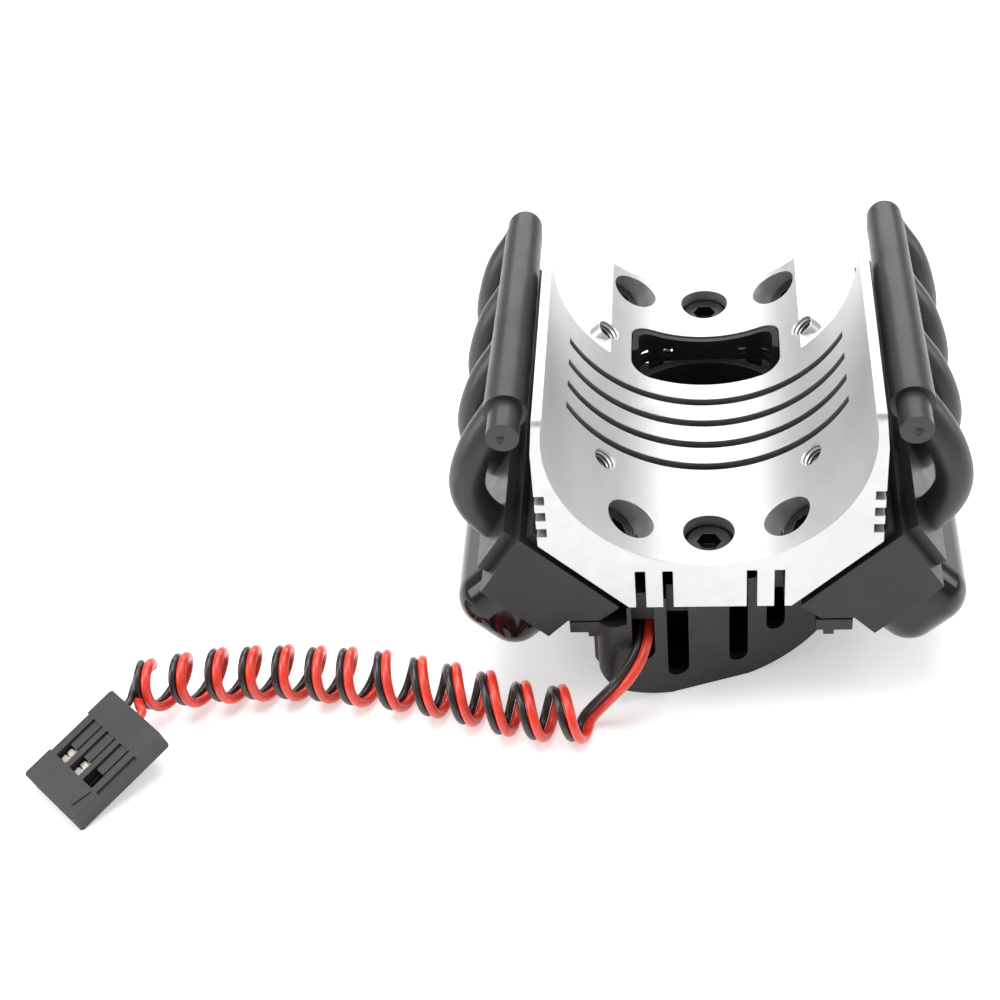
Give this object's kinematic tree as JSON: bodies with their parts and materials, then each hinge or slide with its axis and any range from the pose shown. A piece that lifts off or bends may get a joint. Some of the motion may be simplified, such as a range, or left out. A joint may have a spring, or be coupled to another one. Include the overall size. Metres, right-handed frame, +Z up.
{
  "type": "motor heat sink with cooling fan",
  "caption": "Aluminium saddle heat sink for a 36 mm electric motor, with a fan under it, moulded engine-style dress-up parts and a curled lead ending in a plug.",
  "frame": {"origin": "bottom centre of the part without its lead, on the surface it lies on", "axes": "+Z up towards the open saddle, +Y along the motor axis away from the lead, +X across"},
  "size_m": [0.1104, 0.0729, 0.0443],
  "materials": {
    "aluminium": "bead blasted, clear",
    "matte_black": "fine moulded texture",
    "satin_black": "satin moulded",
    "gloss_black": "polished mould",
    "pad_black": "matte",
    "fan_plastic": "moulded",
    "bronze": "sintered",
    "steel": "ground",
    "board": "solder mask",
    "copper": "enamelled wire",
    "magnet": "bonded ferrite",
    "black_steel": "black oxide",
    "lead_red": "silicone, red and black cores",
    "plug_black": "moulded",
    "contact_metal": "tin over brass"
  },
  "bodies": {
    "body": {"heatsink_saddle": "aluminium", "left_cylinder_head": "matte_black", "right_cylinder_head": "matte_black", "left_head_pad": "pad_black", "right_head_pad": "pad_black", "left_valve_cover": "gloss_black", "right_valve_cover": "gloss_black", "left_collector": "satin_black", "right_collector": "satin_black", "left_exhaust_header": "satin_black", "right_exhaust_header": "satin_black", "intake_housing": "matte_black", "fan_cover": "matte_black", "fan_frame": "fan_plastic", "fan_bearing": "bronze", "fan_circuit_board": "board", "fan_stator_core": "steel", "fan_coils": "copper", "intake_screws": "black_steel", "left_head_screws": "black_steel", "right_head_screws": "black_steel", "fan_screws": "black_steel", "fan_lead": "lead_red", "fan_lead_coil": "lead_red", "fan_lead_tail": "lead_red", "plug_housing": "plug_black", "plug_contacts": "contact_metal"},
    "rotor": {"fan_rotor": "fan_plastic", "fan_magnet_ring": "magnet", "fan_shaft": "steel", "fan_retaining_clip": "steel"}
  },
  "joints": [
    {"name": "fan_spin", "type": "hinge", "parent": "body", "child": "rotor", "pos_m": [0, 0.0027, 0.0082], "axis": [0, 0, 1], "continuous": true}
  ]
}
